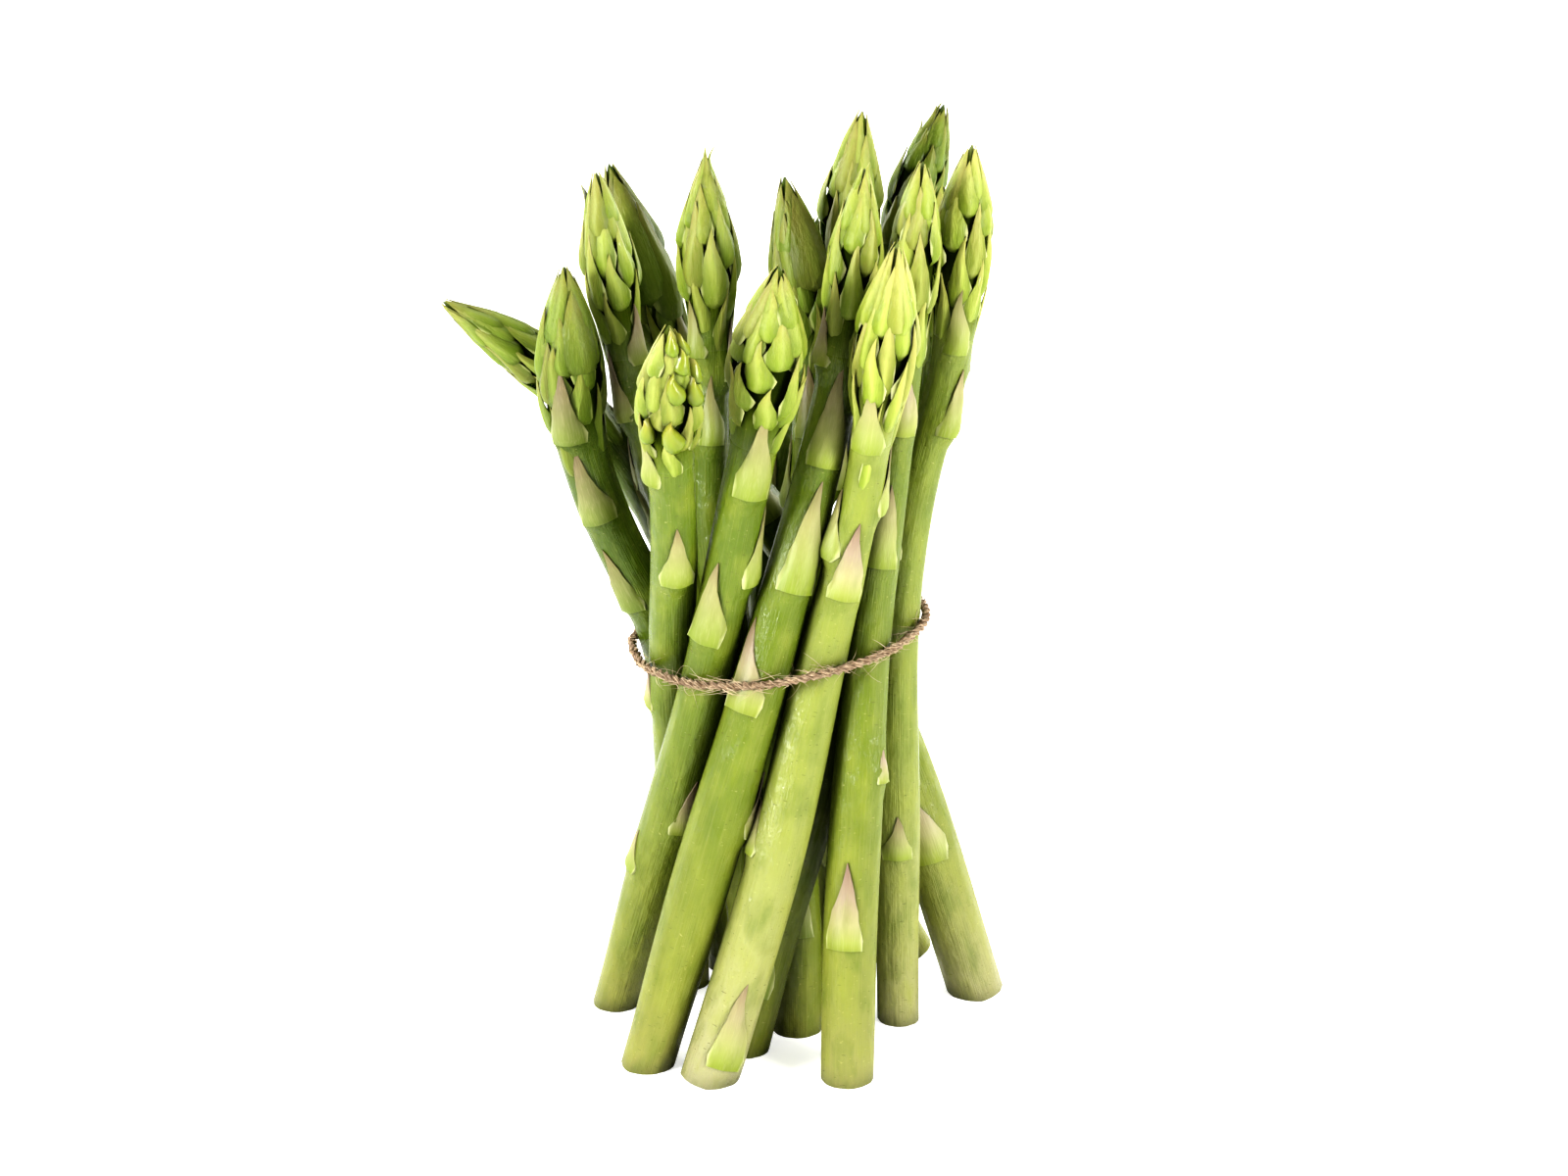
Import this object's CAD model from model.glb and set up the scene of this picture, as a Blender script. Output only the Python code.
"""A tied bundle of sixteen green asparagus spears standing on its cut ends."""

import math
import random

import bpy
import numpy as np
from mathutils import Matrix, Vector


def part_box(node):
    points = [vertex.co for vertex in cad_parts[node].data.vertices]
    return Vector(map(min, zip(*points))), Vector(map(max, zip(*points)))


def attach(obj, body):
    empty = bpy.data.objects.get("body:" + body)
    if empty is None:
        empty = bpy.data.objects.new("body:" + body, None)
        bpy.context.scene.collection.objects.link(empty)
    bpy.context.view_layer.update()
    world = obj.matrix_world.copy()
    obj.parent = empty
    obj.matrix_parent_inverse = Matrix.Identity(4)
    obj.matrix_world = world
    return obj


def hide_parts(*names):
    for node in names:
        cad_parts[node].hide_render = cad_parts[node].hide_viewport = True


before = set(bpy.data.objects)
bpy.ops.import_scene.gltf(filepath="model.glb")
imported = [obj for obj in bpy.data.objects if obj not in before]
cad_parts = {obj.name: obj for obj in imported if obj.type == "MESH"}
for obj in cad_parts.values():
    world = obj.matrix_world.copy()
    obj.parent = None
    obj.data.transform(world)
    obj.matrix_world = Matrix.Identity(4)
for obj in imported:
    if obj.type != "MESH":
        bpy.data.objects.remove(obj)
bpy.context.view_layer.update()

# ------------------------------------------------------------------------------------------------
# The lie of the spears
# A spear grows nearly straight and is bent a little where the tie pulls it in. It is modelled
# straight and upright, then bent to the line and given the thickness that its solid has.
# ------------------------------------------------------------------------------------------------

MM = 0.001
SLICES = 34
ROUTE_POINTS = 160
ROUTE_SMOOTHING = 9  # points averaged


def crossings(corners, triangles, place, normal):
    """The short straight pieces of outline where a plane crosses a solid, as pairs of ends."""
    side = ((corners - place) @ normal + 1e-9)[triangles]
    points, crossed = [], []
    for a, b in ((0, 1), (1, 2), (2, 0)):
        opposite = side[:, a] * side[:, b] < 0
        share = np.where(opposite, side[:, a] / np.where(opposite, side[:, a] - side[:, b], 1), 0)
        start, end = corners[triangles[:, a]], corners[triangles[:, b]]
        points.append(start + share[:, None] * (end - start))
        crossed.append(opposite)
    return np.stack(points, axis=1)[np.stack(crossed, axis=1)].reshape(-1, 2, 3)


def cut_across(corners, triangles, place, normal):
    """Centre and mean radius of a solid where a plane crosses it."""
    pairs = crossings(corners, triangles, place, normal)
    lengths = np.linalg.norm(pairs[:, 0] - pairs[:, 1], axis=1)
    centre = (pairs.mean(axis=1) * lengths[:, None]).sum(axis=0) / lengths.sum()
    return centre, lengths.sum() / (2 * math.pi)


def directions(points):
    """The way a line runs at each of its points."""
    ways = np.gradient(points, axis=0)
    return ways / np.linalg.norm(ways, axis=1)[:, None]


def corners_of(name):
    """The corners and triangles of a CAD node."""
    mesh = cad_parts[name].data
    mesh.calc_loop_triangles()
    corners = np.array([corner.co for corner in mesh.vertices], float)
    return corners, np.array([triangle.vertices for triangle in mesh.loop_triangles])


class Lie:
    """A line through space, with the thickness round it: places are found by the distance along it."""

    def __init__(self, points, radii, closed=False, smoothing=ROUTE_SMOOTHING):
        along = np.concatenate([[0], np.cumsum(np.linalg.norm(np.diff(points, axis=0), axis=1))])
        self.length = along[-1]
        self.along = np.linspace(0, self.length, ROUTE_POINTS)
        even = np.stack([np.interp(self.along, along, points[:, axis]) for axis in range(3)], axis=1)
        half = smoothing // 2
        if closed:
            padded = np.vstack([even[-half - 1 : -1], even, even[1 : half + 1]])
        else:
            before = 2 * even[0] - even[half:0:-1]
            after = 2 * even[-1] - even[-2 : -half - 2 : -1]
            padded = np.vstack([before, even, after])
        window = np.ones(smoothing) / smoothing
        self.points = np.stack([np.convolve(padded[:, axis], window, "valid") for axis in range(3)], axis=1)
        self.ways = directions(self.points)
        self.radii = np.interp(self.along, along, radii)

    def radius(self, distance):
        return np.interp(distance, self.along, self.radii)

    def at_height(self, height):
        """The distance along the line where it reaches a height above the ground."""
        return float(np.interp(height, self.points[:, 2], self.along))

    def bend(self, straight, back=(0, 1, 0)):
        """Moves straight places, with z along the line and -y facing the viewer, to the line."""
        along = np.clip(straight[:, 2], 0, self.length)
        place = np.stack([np.interp(along, self.along, self.points[:, axis]) for axis in range(3)], axis=1)
        way = np.stack([np.interp(along, self.along, self.ways[:, axis]) for axis in range(3)], axis=1)
        way /= np.linalg.norm(way, axis=1)[:, None]
        behind = np.array(back) - way * (way @ np.array(back))[:, None]
        behind /= np.linalg.norm(behind, axis=1)[:, None]
        right = np.cross(behind, way)
        over = (straight[:, 2] - along)[:, None]
        return place + straight[:, :1] * right + straight[:, 1:2] * behind + over * way


def lie_of(name):
    """The line and the thickness of a spear's solid, from cut end to tip."""
    corners, triangles = corners_of(name)
    low, high = corners[:, 2].min(), corners[:, 2].max()
    up = np.array([0, 0, 1.0])
    heights = low + (high - low) * np.linspace(0.05, 0.97, SLICES)
    centres = np.array([cut_across(corners, triangles, up * height, up)[0] for height in heights])
    for _ in range(2):
        ways = directions(centres)
        cuts = [cut_across(corners, triangles, centre, way) for centre, way in zip(centres, ways)]
        centres = np.array([cut[0] for cut in cuts])
    radii = np.array([cut[1] for cut in cuts])
    ways = directions(centres)
    foot = centres[0] + ways[0] * ((corners - centres[0]) @ ways[0]).min()
    tip = centres[-1] + ways[-1] * ((corners - centres[-1]) @ ways[-1]).max()
    points = np.vstack([foot, centres, tip])
    lie = Lie(points, np.concatenate([radii[:1], radii, [0.4 * MM]]))
    lie.cut_level = (corners[:, 2] < low + 0.01 * MM).sum() > 4
    return lie


# ------------------------------------------------------------------------------------------------
# Plant skin and its colours
# Asparagus skin is smooth, waxy and slightly see-through, drawn along its length in fine fibres.
# It is whitish yellow at the cut end, which stood in the soil, and full green higher up.
# ------------------------------------------------------------------------------------------------


SHADE = "1C2703"  # the green of thick shade between neighbours
UNDERSIDE = "26320A"  # skin that never sees the light


def linear(hex_colour):
    """A screen colour, such as "8FA63C", as the linear colour a shader wants."""
    channels = [int(hex_colour[i : i + 2], 16) / 255 for i in (0, 2, 4)]
    return (*[c / 12.92 if c <= 0.04045 else ((c + 0.055) / 1.055) ** 2.4 for c in channels], 1)


def add_node(tree, kind, inputs=(), output=0, stops=(), **settings):
    """Adds a node with its settings and returns one of its outputs. Each input is a value, a hex
    colour or the output that feeds it; stops are the (place, hex colour) pairs of a colour ramp."""
    node = tree.nodes.new(kind)
    for name, value in settings.items():
        setattr(node, name, value)
    for socket, value in dict(inputs).items():
        if isinstance(value, bpy.types.NodeSocket):
            tree.links.new(value, node.inputs[socket])
        else:
            node.inputs[socket].default_value = linear(value) if isinstance(value, str) else value
    while stops and len(node.color_ramp.elements) < len(stops):
        node.color_ramp.elements.new(0.5)
    for index, (place, colour) in enumerate(stops):
        node.color_ramp.elements[index].position = place
        node.color_ramp.elements[index].color = linear(colour)
    return node.outputs[output]


def new_material(name, roughness, subsurface=0.0):
    """A material whose shader has its own even values set, with its tree and shader to build on."""
    material = bpy.data.materials.new(name)
    material.use_nodes = True
    tree = material.node_tree
    shader = tree.nodes["Principled BSDF"]
    shader.inputs["Roughness"].default_value = roughness
    shader.inputs["Subsurface Weight"].default_value = subsurface
    shader.inputs["Subsurface Radius"].default_value = (0.6, 1.0, 0.25)
    shader.inputs["Subsurface Scale"].default_value = 1.5 * MM
    return material, tree, shader


def stored(tree):
    """What every point of a plant part stores: its place on the straight spear, how far across and
    along its part it is, that part's own chance, the depth of its green, and how far it is covered."""
    place, part = (
        add_node(tree, "ShaderNodeAttribute", output="Vector", attribute_name=name)
        for name in ("grown", "part")
    )
    depth, covered = (
        add_node(tree, "ShaderNodeAttribute", output="Fac", attribute_name=name)
        for name in ("tone", "covered")
    )
    across, along, chance = add_node(tree, "ShaderNodeSeparateXYZ", {0: part}).node.outputs
    return place, across, along, chance, depth, covered


def washed(tree, colour, tint, value, low=0.0, high=1.0, most=1.0, least=0.0):
    """A colour washed over with a tint, from least to most of it as a value runs from low to high."""
    share = add_node(tree, "ShaderNodeMapRange", {0: value, 1: low, 2: high, 3: least, 4: most})
    return add_node(tree, "ShaderNodeMix", {0: share, 6: colour, 7: tint}, 2, data_type="RGBA")


def cloudy(tree, place, size, detail=2.0, stretch=(1, 1, 1)):
    """An uneven pattern whose lumps are that many metres across, drawn out by the stretch."""
    scale = [1 / (size * s) for s in stretch]
    scaled = add_node(tree, "ShaderNodeMapping", {"Vector": place, "Scale": scale})
    return add_node(tree, "ShaderNodeTexNoise", {"Vector": scaled, "Scale": 1.0, "Detail": detail})


def finish_skin(tree, shader, colour, height, strength, distance):
    """Gives a shader its colour and its relief."""
    normal = add_node(tree, "ShaderNodeBump", {"Height": height, "Strength": strength, "Distance": distance})
    tree.links.new(colour, shader.inputs["Base Color"])
    tree.links.new(normal, shader.inputs["Normal"])


def in_crevices(tree, colour, distance, darkest):
    """A colour that deepens to shade where its neighbours stand within a distance."""
    open_sky = add_node(tree, "ShaderNodeAmbientOcclusion", {"Distance": distance}, "AO", samples=6)
    return washed(tree, colour, SHADE, open_sky, 0.25, 0.95, 0.0, darkest)


def hide_under(tree, shader, colour, covered, roughness, shine):
    """A colour darkened where its neighbours cover it, with the shader's shine taken off there."""
    for socket, bare, hidden in (("Roughness", roughness, 1.0), ("Specular IOR Level", shine, 0.0)):
        amount = add_node(tree, "ShaderNodeMapRange", {0: covered, 1: 0.0, 2: 0.5, 3: bare, 4: hidden})
        tree.links.new(amount, shader.inputs[socket])
    return washed(tree, colour, UNDERSIDE, covered)


# Stem skin: wax over long green fibres, pale where the shoot stood in the ground, clear green above,
# with soft darker patches, small rubbed flecks and a few brown nicks. The fibres are drawn a little
# coarser than they are, so that they show.
stem_skin, tree, shader = new_material("asparagus stem skin", 0.27, subsurface=0.08)
place, across, along, chance, depth, covered = stored(tree)
bleached = add_node(
    tree, "ShaderNodeValToRGB", {0: along},
    stops=[(0.0, "A9A57C"), (0.12, "A0A164"), (0.35, "8E9649"), (0.7, "85903C"), (1.0, "9AA257")],
)
young = add_node(
    tree, "ShaderNodeValToRGB", {0: along},
    stops=[(0.0, "908F4B"), (0.1, "808634"), (0.35, "6D7C20"), (0.7, "617418"), (1.0, "68791F")],
)
deep = add_node(
    tree, "ShaderNodeValToRGB", {0: along},
    stops=[(0.0, "717A22"), (0.2, "52660E"), (0.5, "3D5406"), (0.8, "344B05"), (1.0, "40560A")],
)
colour = washed(tree, bleached, young, depth, 0.0, 0.3)
colour = washed(tree, colour, deep, depth, 0.3, 1.0)
patches = cloudy(tree, place, 5 * MM, 4.0, (1, 1, 2.2))
colour = washed(tree, colour, "576B0E", patches, 0.5, 0.75, 0.5)
colour = washed(tree, colour, "92993C", patches, 0.5, 0.28, 0.4)
fibres = cloudy(tree, place, 0.28 * MM, 3.0, (1, 1, 60))
colour = washed(tree, colour, "AAA95C", fibres, 0.5, 0.8, 0.25)
flecks = cloudy(tree, place, 0.7 * MM, 2.0, (1.6, 1.6, 0.8))
colour = washed(tree, colour, "C4C075", flecks, 0.68, 0.78, 0.4)
nicks = cloudy(tree, place, 0.45 * MM, 1.0, (5, 5, 1))
colour = washed(tree, colour, "4E4A1C", nicks, 0.73, 0.77, 0.5)
colour = washed(tree, colour, "525719", flecks, 0.3, 0.24, 0.6)
colour = hide_under(tree, shader, colour, covered, 0.27, 0.45)
colour = in_crevices(tree, colour, 6 * MM, 0.75)
swells = cloudy(tree, place, 3 * MM, 5.0, (1, 1, 1.8))
height = add_node(tree, "ShaderNodeMix", {0: 0.8, 6: fibres, 7: swells}, 2, data_type="RGBA")
finish_skin(tree, shader, colour, height, 0.8, 1.2 * MM)

# Scale leaf: dry and papery, the stem's own green at its foot, flushed mauve towards its point, with
# fine veins and a thin bleached margin.
scale_leaf, tree, shader = new_material("asparagus scale leaf", 0.46, subsurface=0.06)
place, across, along, chance, depth, covered = stored(tree)
mauve = add_node(
    tree, "ShaderNodeValToRGB", {0: along},
    stops=[(0.0, "88942E"), (0.1, "98A04C"), (0.3, "A8A472"), (0.6, "A09078"), (1.0, "84695A")],
)
brown = add_node(
    tree, "ShaderNodeValToRGB", {0: along},
    stops=[(0.0, "55681A"), (0.15, "68742C"), (0.45, "696633"), (0.75, "645232"), (1.0, "52402A")],
)
colour = washed(tree, mauve, brown, depth, 0.2, 1.0)
green = add_node(
    tree, "ShaderNodeValToRGB", {0: along},
    stops=[(0.0, "82942A"), (0.3, "91A040"), (0.7, "9FA25C"), (1.0, "8B7E56")],
)
olive = add_node(
    tree, "ShaderNodeValToRGB", {0: along}, stops=[(0.0, "475B12"), (0.5, "586A19"), (1.0, "6F672A")]
)
green = washed(tree, green, olive, depth, 0.2, 1.0)
colour = washed(tree, colour, green, chance, 0.2, 0.7, 0.0, 0.6)
blush = cloudy(tree, place, 2.5 * MM, 2.0, (1, 1, 3))
colour = washed(tree, colour, "767F37", blush, 0.5, 0.75, 0.4)
veins = cloudy(tree, place, 0.3 * MM, 2.0, (1, 1, 30))
colour = washed(tree, colour, "BBB784", veins, 0.5, 0.8, 0.3)
edge = add_node(tree, "ShaderNodeMath", {0: across}, operation="ABSOLUTE")
colour = washed(tree, colour, "C7C895", edge, 0.84, 1.0, 0.8)
colour = in_crevices(tree, colour, 4 * MM, 0.75)
finish_skin(tree, shader, colour, veins, 0.4, 0.2 * MM)

# Head scale: thick, smooth and a little moist over the bud that it wraps, green low down, yellower
# along its ridge, dark down its flanks, with a pale margin and a point browned by the sun.
head_scale, tree, shader = new_material("asparagus head scale", 0.42, subsurface=0.08)
place, across, along, chance, depth, covered = stored(tree)
bright = add_node(
    tree, "ShaderNodeValToRGB", {0: along},
    stops=[(0.0, "7F942B"), (0.25, "94A43C"), (0.6, "AAB256"), (0.85, "AEAB5C"), (1.0, "A0954A")],
)
dull = add_node(
    tree, "ShaderNodeValToRGB", {0: along},
    stops=[(0.0, "3A5206"), (0.25, "48640C"), (0.6, "536B10"), (0.85, "5F601C"), (1.0, "554620")],
)
colour = washed(tree, bright, dull, depth, 0.1, 1.0)
colour = washed(tree, colour, washed(tree, "938051", "52491C", depth), chance, 0.6, 1.0, 0.5)
mottle = cloudy(tree, place, 1.4 * MM, 3.0, (1, 1, 2.5))
colour = washed(tree, colour, "697E1A", mottle, 0.5, 0.75, 0.45)
veins = cloudy(tree, place, 0.3 * MM, 2.0, (1, 1, 20))
colour = washed(tree, colour, "BBBB6E", veins, 0.5, 0.8, 0.2)
edge = add_node(tree, "ShaderNodeMath", {0: across}, operation="ABSOLUTE")
ridge = washed(tree, "C6CC7C", "7C9030", depth)
flank = washed(tree, "5E7214", "2E4007", depth)
margin = washed(tree, "D6D6A0", "8C9B40", depth)
colour = washed(tree, colour, ridge, edge, 0.0, 0.3, 0.0, 0.35)
colour = washed(tree, colour, flank, edge, 0.25, 0.8, 0.5)
colour = washed(tree, colour, margin, edge, 0.8, 0.97, 0.9)
colour = hide_under(tree, shader, colour, covered, 0.42, 0.3)
colour = in_crevices(tree, colour, 2.5 * MM, 0.9)
folds = cloudy(tree, place, 1.1 * MM, 3.0, (1, 1, 5))
height = add_node(tree, "ShaderNodeMix", {0: 0.7, 6: veins, 7: folds}, 2, data_type="RGBA")
finish_skin(tree, shader, colour, height, 0.7, 0.7 * MM)

# Bud: plump, smooth and moist, yellow green where the light reaches it and darker at its foot.
bud_skin, tree, shader = new_material("asparagus bud", 0.3, subsurface=0.12)
place, across, along, chance, depth, covered = stored(tree)
bright = add_node(
    tree, "ShaderNodeValToRGB", {0: along},
    stops=[(0.0, "66791C"), (0.25, "87962E"), (0.7, "9EA33C"), (1.0, "B0A852")],
)
dull = add_node(
    tree, "ShaderNodeValToRGB", {0: along},
    stops=[(0.0, "3C4E0C"), (0.3, "586A1A"), (0.75, "757826"), (1.0, "937E3A")],
)
colour = washed(tree, bright, dull, depth)
mottle = cloudy(tree, place, 1.6 * MM, 2.0, (1, 1, 2.5))
colour = washed(tree, colour, "8AA02C", mottle, 0.45, 0.75, 0.4)
colour = in_crevices(tree, colour, 2.5 * MM, 0.9)
finish_skin(tree, shader, colour, cloudy(tree, place, 0.5 * MM, 2.0, (1, 1, 6)), 0.25, 0.2 * MM)

# Cut flesh: wet and pale, dotted with the ends of the vessels.
cut_flesh, tree, shader = new_material("cut asparagus flesh", 0.3, subsurface=0.2)
place = stored(tree)[0]
vessels = add_node(tree, "ShaderNodeTexVoronoi", {"Vector": place, "Scale": 1 / (0.9 * MM)}, "Distance")
flesh = washed(tree, "DDE0B2", "C7CF8C", cloudy(tree, place, 3 * MM))
colour = washed(tree, "9FA85E", flesh, vessels, 0.12, 0.3)
hollows = add_node(tree, "ShaderNodeMapRange", {0: vessels, 1: 0.12, 2: 0.3})
finish_skin(tree, shader, colour, hollows, 0.3, 0.15 * MM)

# ------------------------------------------------------------------------------------------------
# Patterns for the parts of a spear
# One stem, one scale leaf, one head scale and one bud are each modelled once at unit size. Every
# spear is grown from copies of them, as the plant makes all its leaves alike and fits them to its stem.
# ------------------------------------------------------------------------------------------------

STEM_SIDES = 36
STEM_RINGS = 84
LEAF_COLUMNS = 8
LEAF_ROWS = 9
FLESH_INSET = 0.09  # from the skin, as a share of the radius
HEART_INSET = 0.45
# Half widths of the two scales from foot to point, and how far a leaf stands off its stem along its length.
LEAF_OUTLINE = (0.93, 1.0, 0.9, 0.76, 0.61, 0.47, 0.35, 0.24, 0.13, 0.01)
HOOD_OUTLINE = (0.2, 0.66, 0.95, 1.0, 0.84, 0.64, 0.46, 0.31, 0.17, 0.02)
LEAF_RISE = ((0, 0.75), (0.05, 1), (0.14, 0.95), (0.35, 0.62), (0.65, 0.28), (1, 0.02))
BUD_SIDES = 12
BUD_RINGS = 11
BUD_WIDTH = ((0, 0), (0.06, 0.5), (0.16, 0.88), (0.28, 1), (0.42, 0.92), (0.6, 0.66), (0.8, 0.32), (1, 0))
BUD_DEPTH = ((0, 0), (0.04, 0.5), (0.12, 0.86), (0.26, 1), (0.5, 0.94), (0.8, 0.78), (1, 0.6))


def deselect_all():
    if bpy.context.object and bpy.context.object.mode == "EDIT":
        bpy.ops.object.mode_set(mode="OBJECT")
    bpy.ops.object.select_all(action="DESELECT")


def select_where(obj, wanted):
    """Selects the vertices for which wanted(place) is true, in edit mode."""
    bpy.ops.object.mode_set(mode="OBJECT")
    for polygon in obj.data.polygons:
        polygon.select = False
    for edge in obj.data.edges:
        edge.select = False
    for vertex in obj.data.vertices:
        vertex.select = wanted(vertex.co)
    bpy.ops.object.mode_set(mode="EDIT")


def places_of(obj):
    places = np.empty(len(obj.data.vertices) * 3)
    obj.data.vertices.foreach_get("co", places)
    return places.reshape(-1, 3)


def move_to(obj, places):
    obj.data.vertices.foreach_set("co", np.ascontiguousarray(places, np.float32).ravel())
    obj.data.update()


# The stem: a disc drawn up ring by ring; its foot is set in to leave the skin as a rim round the flesh.
deselect_all()
bpy.ops.mesh.primitive_circle_add(vertices=STEM_SIDES, radius=1, fill_type="NGON", location=(0, 0, 0))
stem_pattern = bpy.context.object
bpy.ops.object.mode_set(mode="EDIT")
bpy.ops.mesh.select_all(action="SELECT")
for _ in range(STEM_RINGS):
    bpy.ops.mesh.extrude_region_move(TRANSFORM_OT_translate={"value": (0, 0, 1 / STEM_RINGS)})
bpy.ops.mesh.merge(type="CENTER")
bpy.ops.mesh.select_all(action="SELECT")
bpy.ops.mesh.normals_make_consistent(inside=False)
bpy.ops.object.mode_set(mode="OBJECT")
foot = min(stem_pattern.data.polygons, key=lambda face: (face.center.z, -len(face.vertices)))
for polygon in stem_pattern.data.polygons:
    polygon.select = polygon.index == foot.index
bpy.ops.object.mode_set(mode="EDIT")
bpy.ops.mesh.select_mode(type="FACE")
bpy.ops.mesh.inset(thickness=FLESH_INSET, depth=0)
bpy.ops.mesh.inset(thickness=HEART_INSET, depth=0)
bpy.ops.mesh.select_mode(type="VERT")
bpy.ops.object.mode_set(mode="OBJECT")
stem_pattern.data.materials.append(stem_skin)
stem_pattern.data.materials.append(cut_flesh)
for polygon in stem_pattern.data.polygons:
    reach = max(stem_pattern.data.vertices[i].co.xy.length for i in polygon.vertices)
    in_flesh = reach < 1 - FLESH_INSET / 2
    polygon.material_index = 1 if in_flesh and polygon.center.z < 0.5 / STEM_RINGS else 0


def leaf_sheet(outline, material):
    """A sheet whose rows are drawn in to a point, then given its thickness."""
    deselect_all()
    bpy.ops.mesh.primitive_grid_add(x_subdivisions=LEAF_COLUMNS, y_subdivisions=LEAF_ROWS, size=2)
    sheet = bpy.context.object
    for row, width in enumerate(outline):
        height = 2 * row / LEAF_ROWS - 1
        select_where(sheet, lambda place: abs(place.y - height) < 0.01)
        bpy.ops.transform.resize(value=(width, 1, 1), center_override=(0, height, 0))
    bpy.ops.mesh.select_all(action="SELECT")
    bpy.ops.transform.resize(value=(1, 0.5, 1), center_override=(0, -1, 0))
    bpy.ops.transform.translate(value=(0, 1, 0))
    bpy.ops.object.mode_set(mode="OBJECT")
    thicken = sheet.modifiers.new("thicken", "SOLIDIFY")
    thicken.thickness = 1
    thicken.offset = 1
    bpy.ops.object.modifier_apply(modifier="thicken")
    sheet.data.materials.append(material)
    return sheet


leaf_pattern = leaf_sheet(LEAF_OUTLINE, scale_leaf)
hood_pattern = leaf_sheet(HOOD_OUTLINE, head_scale)


def plumpness(outline, along):
    """How full a bud is, from its rounded foot to the long point it is drawn out to."""
    return np.interp(along, *zip(*outline))


# The bud: a ball drawn out to a point, laid down so that it lies along y and stands out along z.
deselect_all()
bpy.ops.mesh.primitive_uv_sphere_add(segments=BUD_SIDES, ring_count=BUD_RINGS, radius=1)
bud_pattern = bpy.context.object
for ring in range(1, BUD_RINGS):
    height = -math.cos(math.pi * ring / BUD_RINGS)
    select_where(bud_pattern, lambda place: abs(place.z - height) < 0.01)
    full = math.sqrt(1 - height**2)
    width, thickness = (plumpness(outline, (1 + height) / 2) / full for outline in (BUD_WIDTH, BUD_DEPTH))
    bpy.ops.transform.resize(value=(width, thickness, 1), center_override=(0, 0, height))
bpy.ops.object.mode_set(mode="OBJECT")
laid_down = places_of(bud_pattern)[:, (0, 2, 1)] * (1, 0.5, -1) + (0, 0.5, 0)
move_to(bud_pattern, laid_down)
bud_pattern.data.materials.append(bud_skin)

# ------------------------------------------------------------------------------------------------
# The spears
# Each is one shoot: a cut end, a stem that thins upwards with papery scale leaves pressed to it in
# a spiral, and a head of overlapping scales, each with a plump bud behind it.
# ------------------------------------------------------------------------------------------------

GOLDEN_ANGLE = 137.5
HEAD_CORE = 0.78  # thickness of the stem inside the head, as a share of the whole
TIP_SCALES = 5
TIP_LENGTH = 14 * MM  # over which the core comes out to the tip
SCALE_GROWTH = 0.12  # added to a head scale's length for each millimetre below the tip
GAP_GROWTH = 0.045
EDGE_WAVES = ((0.06, 9, 40), (0.04, 23, 70))  # height, count and shift of the waves in a scale's edge
SWAY = 5  # degrees to either side of a scale's straight middle line
SWELLING_ABOVE = 7 * MM
SWELLING_BELOW = 2.2 * MM


def keep(obj, name, values):
    """Stores a value for every point: one number, or three, each."""
    kind, field = ("FLOAT", "value") if np.ndim(values) == 1 else ("FLOAT_VECTOR", "vector")
    attribute = obj.data.attributes.get(name) or obj.data.attributes.new(name, kind, "POINT")
    attribute.data.foreach_set(field, np.ascontiguousarray(values, np.float32).ravel())


def copy_of(pattern, name):
    """A copy of a pattern with a mesh of its own."""
    copied = pattern.copy()
    copied.data = pattern.data.copy()
    copied.name = name
    bpy.context.scene.collection.objects.link(copied)
    return copied


def set_on_stem(pattern, name, lie, foot, length, half_width, facing, reach, chance, skew=0.0):
    """A leaf or bud laid on the straight stem with its foot at a distance along it. reach(across,
    along, out, distance) gives how far from the stem's middle each of its points lies and how much it
    is covered by its neighbours. skew turns its point sideways, in degrees."""
    part = copy_of(pattern, name)
    across, along, out = places_of(part).T
    distance = foot + along * length
    far, covered = reach(across, along, out, distance)
    wavy = 1 + sum(size * np.sin(count * along + shift * chance) for size, count, shift in EDGE_WAVES)
    turn = math.radians(facing) + across * half_width * wavy / np.maximum(far, 0.45 * half_width)
    sway = SWAY * math.sin(2 * math.pi * 3 * chance) * np.sin(2 * math.pi * along)
    turn = turn + np.radians(skew * along + sway)
    straight = np.stack([far * np.sin(turn), -far * np.cos(turn), distance], axis=1)
    keep(part, "part", np.stack([across, along, np.full(len(across), chance)], axis=1))
    keep(part, "grown", straight + (0, 0, chance))
    keep(part, "covered", np.clip(covered, 0, 1))
    move_to(part, straight)
    return part


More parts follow.
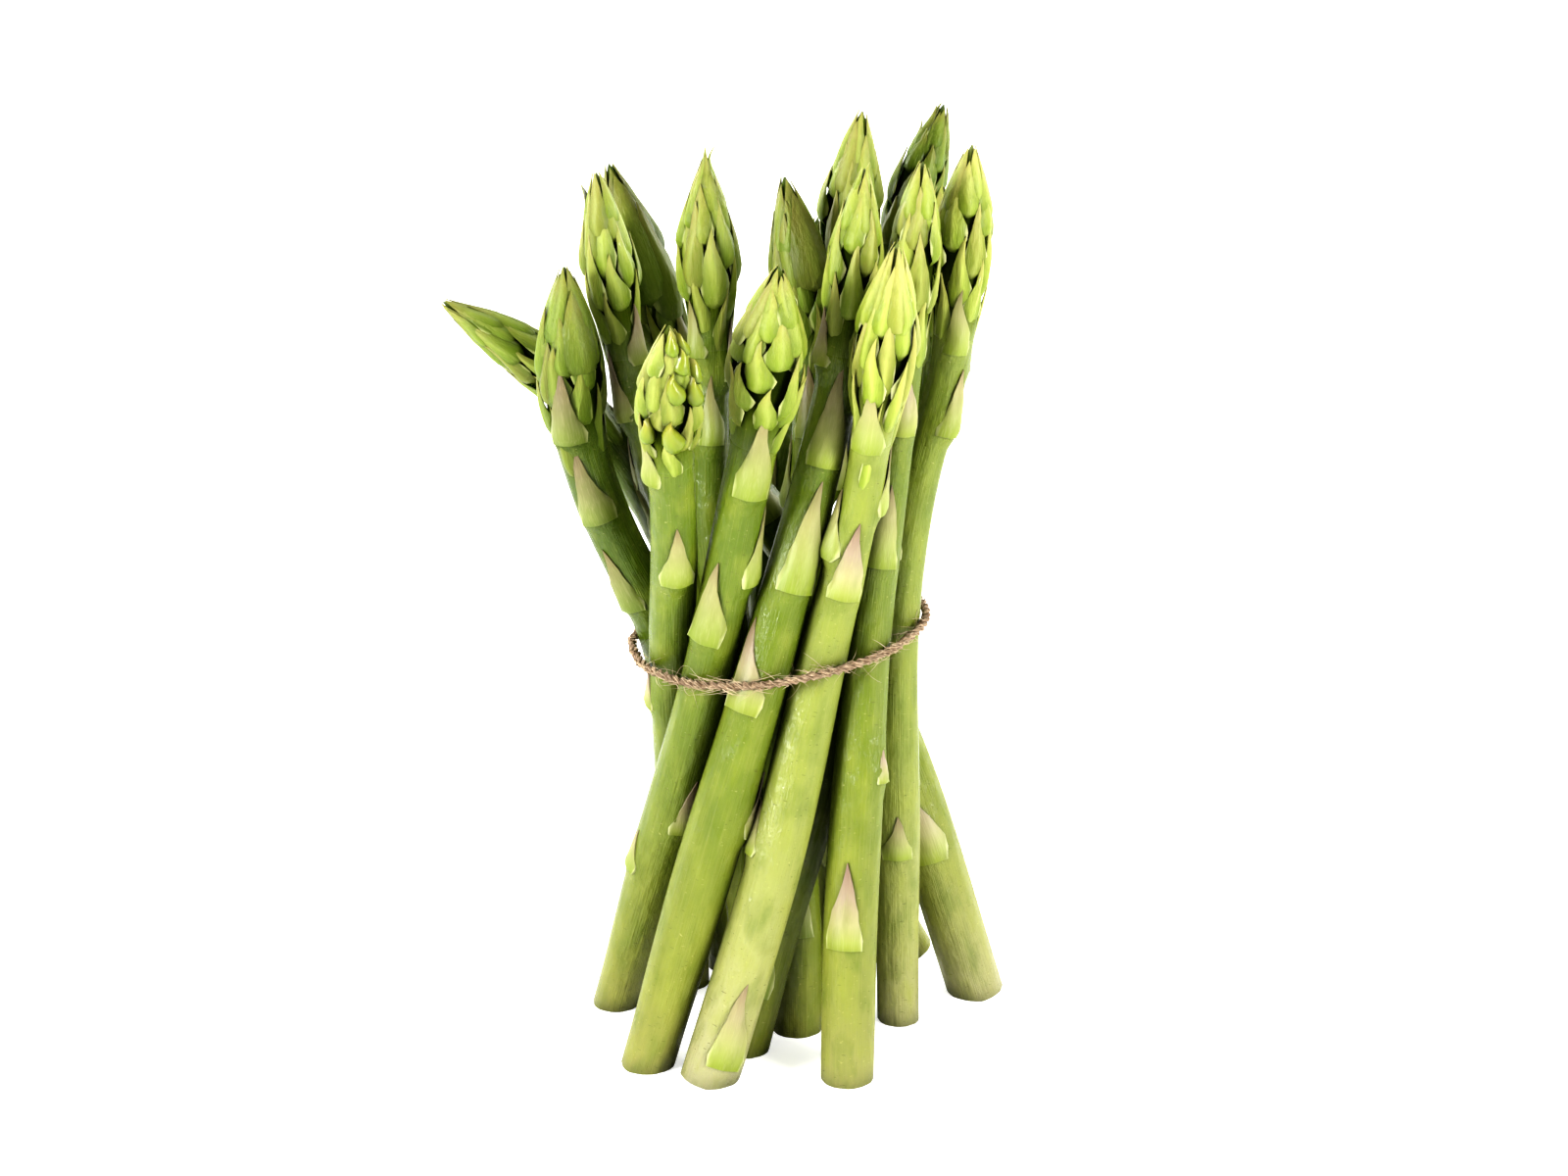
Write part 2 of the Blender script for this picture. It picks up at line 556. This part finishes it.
def grow_stem(name, lie, head, chance, leaves):
    """The stem with its long ribs, a slight swelling at each leaf's foot, and a thin core in the head."""
    stem = copy_of(stem_pattern, name)
    x, y, z = places_of(stem).T
    start = -3 * MM if lie.cut_level else 0
    distance = start + z * (lie.length - start)
    turn = np.arctan2(x, -y)
    thickness = lie.radius(distance)
    into_head = np.clip((distance - (lie.length - head)) / (0.35 * head), 0, 1)
    near_tip = np.clip(1 - (lie.length - distance) / TIP_LENGTH, 0, 1)
    thickness = thickness * (1 - (1 - HEAD_CORE) * into_head * (1 - 0.6 * near_tip))
    ribs = 0.010 * np.sin(7 * turn + 2 * chance) + 0.008 * np.sin(13 * turn + 9 * chance + 25 * distance)
    crook = 0.02 * np.sin(2 * turn + 60 * distance + 20 * chance)
    swelling = np.zeros(len(x))
    for foot, facing, raised in leaves:
        apart = (turn - math.radians(facing) + math.pi) % (2 * math.pi) - math.pi
        above = distance - foot
        reach = np.where(above > 0, SWELLING_ABOVE, SWELLING_BELOW)
        swelling = np.maximum(swelling, 0.7 * raised * np.exp(-((above / reach) ** 2) - (apart / 0.85) ** 2))
    thickness = thickness * (1 + ribs + crook) + swelling
    straight = np.stack([x * thickness, y * thickness, distance], axis=1)
    keep(stem, "part", np.stack([turn / math.pi, distance / lie.length, np.full(len(x), chance)], axis=1))
    keep(stem, "grown", straight + (0, 0, chance))
    keep(stem, "covered", 0.92 * into_head * np.sqrt(1 - near_tip))
    move_to(stem, straight)
    return stem


def grow_spear(
    name, tone, seed, head, scales=(), bud_length=15, bud_gap=0.8, breadth=0.52, extra=(), beads=()
):
    """One whole spear in place of its CAD node, in millimetres and degrees. tone is the depth of its
    green, or a pair of them for foot and tip; head is the length of its head, and bud_length, bud_gap
    and breadth are the length, spacing and share of the width of the scales there.

    scales are the leaves on its stem, each as (height above the ground, way it faces, length, half
    width and, where its point is turned aside, how far). extra are scales set on the head by hand,
    each as (distance below the tip, way it faces, how far it stands off, how far it is turned aside,
    size), and beads its bare buds, each as (distance below the tip, way it faces, length)."""
    rng = random.Random(seed)
    lie = lie_of(name)
    chance = rng.random()
    head = head * MM
    parts, feet = [], []

    def on_stem(foot, facing, length, half_width, skew=0):
        """A papery scale pressed to the stem, with the small bud behind it raising its middle."""
        nearness = np.clip(1 - (lie.length - head - foot) / (90 * MM), 0, 1)
        raised = (1.2 + 1.3 * nearness) * rng.uniform(0.8, 1.2) * MM
        flare = rng.uniform(-0.1, 0.15) * MM
        corner = rng.uniform(0.7, 1.5) * MM

        def reach(across, along, out, distance):
            hill = plumpness(LEAF_RISE, along) * (1 - across**2)
            corners = corner * np.exp(-((along / 0.14) ** 2)) * across**4
            thickness = (0.28 - 0.15 * along) * MM * out - 0.15 * MM * (1 - out)
            far = lie.radius(distance) + 0.05 * MM + raised * hill + corners + flare * along**3 + thickness
            return far, 0 * along

        feet.append((foot, facing, raised))
        chance = rng.random()
        return set_on_stem(leaf_pattern, name, lie, foot, length, half_width, facing, reach, chance, skew)

    def in_head(point, facing, lift=None, aside=None, size=1.0):
        """A scale wrapped over its bud, with its point at a distance below the tip, off it by lift."""
        length = size * (bud_length + SCALE_GROWTH * point / MM) * MM * rng.uniform(0.82, 1.22)
        loose = min(point / (8 * MM), 1)
        lift = loose * rng.triangular(-0.1, 0.75, 0.15) * MM if lift is None else lift * MM
        aside = rng.uniform(-14, 14) if aside is None else aside
        foot = lie.length - point - length
        wide = breadth + 0.3 * max(1 - point / (9 * MM), 0)
        half_width = max(wide * lie.radius(foot + 0.3 * length), 1.3 * MM) * size * rng.uniform(0.82, 1.15)
        full = rng.uniform(0.93, 1.08) + 0.3 * max(size - 1, 0)
        tuck = HEAD_CORE * 0.96
        left_lip, right_lip = (max(rng.uniform(-0.6, 0.9), 0) * MM for _ in range(2))
        lean = rng.uniform(-0.25, 0.25)

        def scale_reach(across, along, out, distance):
            skin = lie.radius(distance)
            side = np.abs(across - lean * (1 - along))
            pillow = np.clip(1 - 0.48 * side**1.6 - 0.25 * side**6, 0, 1)
            ridge = 0.07 * np.clip(1 - 3 * side, 0, 1) * np.clip(3 * along, 0, 1)
            level = plumpness(BUD_DEPTH, along) * pillow
            lip = np.where(across < 0, left_lip, right_lip) * np.abs(across) ** 4
            lip = lip * np.sin(math.pi * along**0.6)
            thickness = (0.28 + 0.22 * out) * MM * np.minimum(5 * along, 1)
            far = skin * (tuck + (full + ridge - tuck) * level) + lip + thickness + lift * along**5
            return far, 0.75 - 4 * along - 0.5 * level

        chance = rng.random()
        return set_on_stem(
            hood_pattern, name, lie, foot, length, half_width, facing, scale_reach, chance, aside
        )

    def bead(point, facing, length):
        """A small bare bud that has come out between the scales."""
        foot = lie.length - (point + length) * MM

        def reach(across, along, out, distance):
            return lie.radius(distance) * 0.9 + (0.16 + 0.24 * out) * length * MM, 0 * along

        half_width = 0.3 * length * MM
        return set_on_stem(bud_pattern, name, lie, foot, length * MM, half_width, facing, reach, rng.random())

    point, facing = 0.0, rng.uniform(0, 360)
    for k in range(TIP_SCALES):
        parts.append(in_head(rng.uniform(0, 2.5) * MM, facing + 360 / TIP_SCALES * k))
    while point < head - 9 * MM:
        parts.append(in_head(point, facing + rng.uniform(-8, 8)))
        facing += GOLDEN_ANGLE
        point += (bud_gap + GAP_GROWTH * point / MM) * MM
    for below_tip, way, *shape in extra:
        parts.append(in_head(below_tip * MM, way, *shape))
    for below_tip, way, length in beads:
        parts.append(bead(below_tip, way, length))
    stem_top = lie.length - head
    below = 0.0
    lowest = 12 * MM
    if scales:
        lowest = lie.at_height(max(scale[0] for scale in scales) * MM) + 14 * MM
    while stem_top - below > lowest:
        length = (15 + 0.07 * below / MM) * MM * rng.uniform(0.9, 1.1)
        foot = stem_top - below - 0.25 * length
        parts.append(on_stem(foot, facing + rng.uniform(-10, 10), length, 0.8 * lie.radius(foot)))
        facing += GOLDEN_ANGLE
        below += (5.5 + 0.19 * below / MM) * MM
    for height, way, length, half_width, *skew in scales:
        parts.append(on_stem(lie.at_height(height * MM), way, length * MM, half_width * MM, *skew))

    stem = grow_stem(name, lie, head, chance, feet)
    parts.append(stem)
    tones = tone if np.ndim(tone) else (tone, tone)
    for part in parts:
        straight = places_of(part)
        keep(part, "tone", np.interp(straight[:, 2], (0, lie.length), tones))
        move_to(part, lie.bend(straight))
    deselect_all()
    stem.select_set(True)
    bpy.context.view_layer.objects.active = stem
    if lie.cut_level:
        bpy.ops.object.mode_set(mode="EDIT")
        bpy.ops.mesh.select_all(action="SELECT")
        bpy.ops.mesh.bisect(plane_co=(0, 0, 0), plane_no=(0, 0, 1), use_fill=True, clear_inner=True)
        bpy.ops.object.mode_set(mode="OBJECT")
        for polygon in stem.data.polygons:
            if polygon.center.z < 0.01 * MM:
                polygon.material_index = 1
    for part in parts:
        part.select_set(True)
    bpy.ops.object.join()
    spear = bpy.context.object
    spear.name = name.replace("spear", "asparagus")
    bpy.ops.object.shade_smooth_by_angle(angle=math.radians(50))
    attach(spear, "root")
    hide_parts(name)


# The front row, which leans up to the right, and the upright one beside it.
grow_spear(
    "spear_front_left", 0.35, 11, 42,
    [(145, 12, 22, 4.8), (122, 78, 20, 4.6), (107, -30, 21, 5.0), (57, 35, 15, 4.4), (42, -75, 11, 3.6)],
    bud_length=12, bud_gap=0.42, breadth=0.49, extra=[(22, -55, 1.2, -8), (24, 62, 1.0, 8)],
    beads=[(31, -62, 3.2), (33, -50, 2.8), (35, -64, 3.0), (30, -48, 2.4)],
)
grow_spear(
    "spear_front_centre", 0.3, 12, 42,
    [(148, 5, 24, 5.0), (119, 15, 27, 5.4), (90, -28, 22, 5.0, -30), (61, 85, 16, 4.2)],
    extra=[(-2, -40, 0.9, 0, 0.5), (-1.5, 35, 0.9, 0, 0.5)],
)
grow_spear(
    "spear_front_middle", 0.0, 13, 46,
    [
        (154, -15, 17, 4.2), (138, 100, 17, 4.2), (118, 8, 19, 4.6), (126, -75, 17, 4.6),
        (54, -80, 13, 4.0), (5, 12, 22, 5.0),
    ],
    bud_length=17, bud_gap=0.7, breadth=0.44,
)
grow_spear(
    "spear_front_right", 0.25, 14, 40,
    [(154, 10, 19, 4.2), (122, 5, 20, 4.4), (71, 60, 9, 3.0), (32, -15, 21, 5.0)],
)
# Those behind them to the right.
grow_spear("spear_right", (0.1, 0.4), 15, 40, [(132, 0, 21, 4.4), (97, 10, 15, 4.2), (50, -120, 14, 4.0)])
grow_spear("spear_outer_right", 0.12, 16, 44, [(150, 45, 16, 4.2), (118, -60, 16, 4.0), (46, 0, 11, 4.0)])
grow_spear(
    "spear_back_right", 0.75, 17, 42,
    bud_length=11, bud_gap=0.7, extra=[(1, -60, 0.8, 0, 0.8), (5, -75, 1.4)],
)
# The middle of the bundle.
grow_spear(
    "spear_middle", 0.65, 18, 44,
    bud_length=16, extra=[(4, 35, 0.8, -8, 1.6), (8, -25, 0.8, 8, 1.2)],
)
grow_spear("spear_middle_back", 0.35, 19, 44)
grow_spear(
    "spear_middle_left", 0.45, 20, 42,
    extra=[(-3.5, 70, 2.2, 0, 0.6), (-3, -50, 0.2, 60, 0.6), (-1.5, 10, 0.6, 0, 0.7), (9, -35, 1.0, 6, 1.2)],
)
# Those that fan out to the left, and the one that comes across from the right at the back.
grow_spear(
    "spear_short_left", 0.3, 21, 36,
    [(150, -60, 15, 3.8), (123, 10, 17, 4.2), (84, -85, 12, 3.6)],
    bud_length=11, bud_gap=0.5,
    beads=[
        (0.5, 15, 5.5), (1.5, 70, 5.5), (4, 42, 6.5), (8, 80, 6.5), (9, 12, 7.5), (11, 55, 7.5),
        (20, 5, 9.0), (21, -42, 7.0),
    ],
)
grow_spear(
    "spear_left", 0.7, 22, 44,
    [(150, -15, 18, 4.6), (130, -10, 19, 4.8), (108, -35, 17, 4.6)],
    bud_length=16, breadth=0.48,
    extra=[(5, 32, 0.7, -8, 1.3), (17, -32, 1.6, 10, 1.1), (9, -75, 0.9, 10, 1.2)],
)
grow_spear("spear_back_left", 0.4, 23, 42, extra=[(3, -88, 2.6, -25)])
grow_spear(
    "spear_crossing_left", (0.1, 0.75), 24, 48,
    bud_length=17, extra=[(3, 25, 0.8, -10, 1.6), (10, 60, 1.0, -10, 1.5)],
)
grow_spear("spear_outer_left", 0.6, 25, 44)
grow_spear("spear_back", 0.55, 26, 42)
for pattern in (stem_pattern, leaf_pattern, hood_pattern, bud_pattern):
    bpy.data.objects.remove(pattern)

# ------------------------------------------------------------------------------------------------
# The twine
# One length of jute twine, three hairy strands twisted together, goes once round the waist, is
# pulled tight and knotted at the back, where its two cut ends hang down and fray.
# ------------------------------------------------------------------------------------------------

STRANDS = 3
STRAND_RADIUS = 0.62 * MM
STRAND_OFFSET = 0.62 * MM
TWIST_LENGTH = 8 * MM
STRAND_RINGS = 20  # along each turn of the twist
LOOP_DIRECTIONS = 96
LOOP_THICKNESS = 2.3 * MM
HAIRS_PER_METRE = 2300

# Jute: dry, dull straw-brown fibres spun side by side, dark in the valleys between them.
jute, tree, shader = new_material("jute twine", 0.88)
place = stored(tree)[0]
fibre = cloudy(tree, place, 0.16 * MM, 3.0, (1, 1, 9))
patch = cloudy(tree, place, 3 * MM, 2.0, (1, 1, 2))
straw = add_node(
    tree, "ShaderNodeValToRGB", {0: fibre}, stops=[(0.35, "5E4A38"), (0.5, "9A8064"), (0.62, "DCC6A8")]
)
colour = washed(tree, straw, "97806C", patch, 0.45, 0.7, 0.5)
finish_skin(tree, shader, colour, fibre, 0.8, 0.2 * MM)

# A loose fibre: a single pale thread of the same plant that catches the light.
hair_jute, tree, shader = new_material("loose jute fibre", 0.7)
patch = cloudy(tree, stored(tree)[0], 4 * MM)
straw = add_node(tree, "ShaderNodeValToRGB", {0: patch}, stops=[(0.3, "9A8364"), (0.7, "D8C6A6")])
tree.links.new(straw, shader.inputs["Base Color"])

deselect_all()
bpy.ops.mesh.primitive_cylinder_add(vertices=8, radius=1, depth=1, location=(0, 0, 0.5))
bpy.ops.object.transform_apply(location=True)
strand_pattern = bpy.context.object
strand_pattern.data.materials.append(jute)
deselect_all()
bpy.ops.mesh.primitive_cone_add(vertices=3, radius1=1, radius2=0.2, depth=1, location=(0, 0, 0.5))
bpy.ops.object.transform_apply(location=True)
hair_pattern = bpy.context.object
hair_pattern.data.materials.append(hair_jute)


def cut_rings(obj, count):
    """Cuts the long sides of an upright bar into rings."""
    deselect_all()
    obj.select_set(True)
    bpy.context.view_layer.objects.active = obj
    bpy.ops.object.mode_set(mode="EDIT")
    bpy.ops.mesh.select_mode(type="EDGE")
    bpy.ops.mesh.select_all(action="DESELECT")
    bpy.ops.object.mode_set(mode="OBJECT")
    for edge in obj.data.edges:
        low, high = sorted(obj.data.vertices[i].co.z for i in edge.vertices)
        edge.select = high - low > 0.5
    bpy.ops.object.mode_set(mode="EDIT")
    bpy.ops.mesh.subdivide(number_cuts=count)
    bpy.ops.mesh.select_mode(type="VERT")
    bpy.ops.object.mode_set(mode="OBJECT")


cut_rings(hair_pattern, 5)


def twisted(lie, rng, frayed=False):
    """The three strands of a length of twine laid along a line, with the loose fibres that stand off it."""
    parts = []
    for strand in range(STRANDS):
        part = copy_of(strand_pattern, "strand")
        cut_rings(part, max(int(lie.length / TWIST_LENGTH * STRAND_RINGS), 8))
        x, y, z = places_of(part).T
        distance = z * lie.length
        turn = 2 * math.pi * (distance / TWIST_LENGTH + strand / STRANDS)
        spread = 1 + (2.2 * np.clip(z - 0.8, 0, 1) / 0.2 if frayed else 0)
        offset = STRAND_OFFSET * spread
        thickness = STRAND_RADIUS * (1 + 0.1 * np.sin(900 * distance + 2 * strand))
        if frayed:
            thickness = thickness * (1 - 0.5 * np.clip(z - 0.85, 0, 1) / 0.15)
        outward = offset + thickness * x
        sideways = thickness * y
        keep(part, "grown", np.stack([x * STRAND_RADIUS, y * STRAND_RADIUS, distance + strand], axis=1))
        straight = np.stack(
            [
                outward * np.cos(turn) - sideways * np.sin(turn),
                outward * np.sin(turn) + sideways * np.cos(turn),
                distance,
            ],
            axis=1,
        )
        move_to(part, lie.bend(straight, lie.side))
        parts.append(part)
    for _ in range(int(HAIRS_PER_METRE * lie.length)):
        hair = copy_of(hair_pattern, "hair")
        x, y, z = places_of(hair).T
        turn, start = rng.uniform(0, 2 * math.pi), rng.uniform(0, lie.length)
        length, rise = rng.triangular(1.0, 8.0, 2.0) * MM, rng.uniform(0.1, 0.95)
        lean = math.sqrt(1 - rise**2) * rng.choice((-1, 1))
        curl, swing = rng.uniform(-0.5, 0.5), rng.uniform(-0.9, 0.9)
        radius = rng.uniform(0.06, 0.12) * MM
        out = 1.6 * STRAND_RADIUS + z * length * rise * (1 - 0.5 * abs(curl) * z)
        around = turn + swing * z
        straight = np.stack(
            [
                out * np.cos(around) + x * radius,
                out * np.sin(around) + y * radius,
                start + lean * length * z + curl * length * z**2 + (x + y) * 0.3 * radius,
            ],
            axis=1,
        )
        keep(hair, "grown", straight)
        move_to(hair, lie.bend(straight, lie.side))
        parts.append(hair)
    return parts


def line_through(points, side=(0, 1, 0)):
    """A line bent smoothly through hand-placed points."""
    p = np.array(points, float)
    p = np.vstack([2 * p[0] - p[1], p, 2 * p[-1] - p[-2]])
    fine = [p[1]]
    for a, b, c, d in zip(p, p[1:], p[2:], p[3:]):
        for t in np.linspace(0, 1, 13)[1:]:
            fine.append(0.5 * (2 * b + (c - a) * t + (2 * a - 5 * b + 4 * c - d) * t**2
                               + (3 * b - a - 3 * c + d) * t**3))
    lie = Lie(np.array(fine), np.ones(len(fine)), smoothing=3)
    lie.side = side
    return lie


# The loop follows the inner face of its solid, so that it lies where the pull left it.
corners, triangles = corners_of("twine")
low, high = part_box("twine")
heart = np.array([(low.x + high.x) / 2, (low.y + high.y) / 2, 0])
heart[1] -= 4 * MM
loop = []
for k in range(LOOP_DIRECTIONS + 1):
    turn = math.pi / 2 + 2 * math.pi * k / LOOP_DIRECTIONS
    outward = np.array([math.cos(turn), math.sin(turn), 0])
    across_loop = np.array([-outward[1], outward[0], 0])
    middles = crossings(corners, triangles, heart, across_loop).mean(axis=1)
    reach = (middles - heart) @ outward
    nearest = reach[reach > 0].min()
    inner = middles[(reach > 0) & (reach < nearest + LOOP_THICKNESS)]
    loop.append(heart * (1, 1, 0) + outward * (nearest + LOOP_THICKNESS / 2) + (0, 0, np.median(inner[:, 2])))
loop = np.array(loop)
rng = random.Random(7)
round_waist = Lie(loop, np.ones(len(loop)), closed=True)
round_waist.side = (0, 0, 1)
twine_parts = twisted(round_waist, rng)

# The knot: each end is taken over the other and down, and a last turn of twine binds the middle.
knot = loop[0]


def from_knot(*offsets):
    return [knot + np.array(offset) * MM for offset in offsets]


for side in (-1, 1):
    over = 0.9 * side
    twine_parts += twisted(
        line_through(
            from_knot(
                (-side * 5.5, -0.4, 0), (-side * 2.6, 1.2 + over, 1.2), (side * 0.4, 2.0 + over, 1.6),
                (side * 2.6, 1.6, 0.2), (side * 3.2, 1.2, -1.8), (side * 4.8, 1.6, -3.2),
                (side * 8.2, 2.4, -7.0), (side * 10.2, 2.2, -13.4),
            )
        ),
        rng,
        frayed=True,
    )
twine_parts += twisted(
    line_through(
        from_knot(
            (0.6, -0.6, -1.8), (0.2, 1.6, -2.9), (-0.3, 3.4, -1.4), (-0.1, 3.7, 0.6), (0.2, 2.6, 2.4),
            (0.5, 0.4, 2.9), (0.6, -0.8, 1.4),
        ),
        (1, 0, 0),
    ),
    rng,
)
for pattern in (strand_pattern, hair_pattern):
    bpy.data.objects.remove(pattern)
deselect_all()
for part in twine_parts:
    part.select_set(True)
bpy.context.view_layer.objects.active = twine_parts[0]
bpy.ops.object.join()
twine = bpy.context.object
twine.name = "jute_tie"
bpy.ops.object.shade_smooth_by_angle(angle=math.radians(60))
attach(twine, "root")
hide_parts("twine")

# ------------------------------------------------------------------------------------------------
# Floor, light and camera
# The bundle stands on white backdrop paper, which glows a little where the camera sees it, between
# two soft boxes in front, two behind that edge it with light, and one over the paper.
# ------------------------------------------------------------------------------------------------

deselect_all()
bpy.ops.mesh.primitive_plane_add(size=6, location=(0, 0, 0))
floor = bpy.context.object
floor.name = "floor"
paper, tree, shader = new_material("white backdrop paper", 0.9)
shader.inputs["Base Color"].default_value = linear("F7F7F5")
seen = add_node(tree, "ShaderNodeLightPath", output="Is Camera Ray")
glow = add_node(tree, "ShaderNodeMapRange", {0: seen, 4: 0.45})
tree.links.new(glow, shader.inputs["Emission Strength"])
shader.inputs["Emission Color"].default_value = linear("FFFFFF")
floor.data.materials.append(paper)

scene = bpy.context.scene
world = bpy.data.worlds.new("studio")
world.use_nodes = True
world.node_tree.nodes["Background"].inputs["Color"].default_value = linear("FFFFFF")
world.node_tree.nodes["Background"].inputs["Strength"].default_value = 0.14
scene.world = world


def soft_box(name, place, aim, size, power):
    """A square area light at a place, turned to what it lights."""
    lamp = bpy.data.lights.new(name, "AREA")
    lamp.size = size
    lamp.energy = power
    holder = bpy.data.objects.new(name, lamp)
    scene.collection.objects.link(holder)
    holder.location = place
    holder.rotation_euler = (Vector(aim) - Vector(place)).to_track_quat("-Z", "Y").to_euler()


middle = (0, 0, 0.11)
soft_box("left", (-0.85, -0.6, 0.42), middle, 0.3, 11)
soft_box("right", (0.85, -0.65, 0.42), middle, 0.3, 10)
soft_box("left rim", (-0.8, 0.75, 0.35), middle, 0.5, 5)
soft_box("right rim", (0.8, 0.75, 0.35), middle, 0.5, 5)
soft_box("backdrop", (0, 0.9, 1.6), (0, 0.9, 0), 2, 26)
scene.view_settings.view_transform = "Standard"
scene.view_settings.look = "High Contrast"
scene.view_settings.exposure = 0.07

WAIST_OFFSET = 0.013311  # the tied waist stands this far to the right of the footprint's middle
DISTANCE = 0.869
HEIGHT_ABOVE = math.radians(20)
target = Vector((WAIST_OFFSET, -0.0002, 0.112))
camera = bpy.data.cameras.new("camera")
camera.lens = 85
camera.sensor_width = 36
viewer = bpy.data.objects.new("camera", camera)
scene.collection.objects.link(viewer)
viewer.location = target + DISTANCE * Vector((0, -math.cos(HEIGHT_ABOVE), math.sin(HEIGHT_ABOVE)))
viewer.rotation_euler = (math.pi / 2 - HEIGHT_ABOVE, 0, 0)
scene.camera = viewer
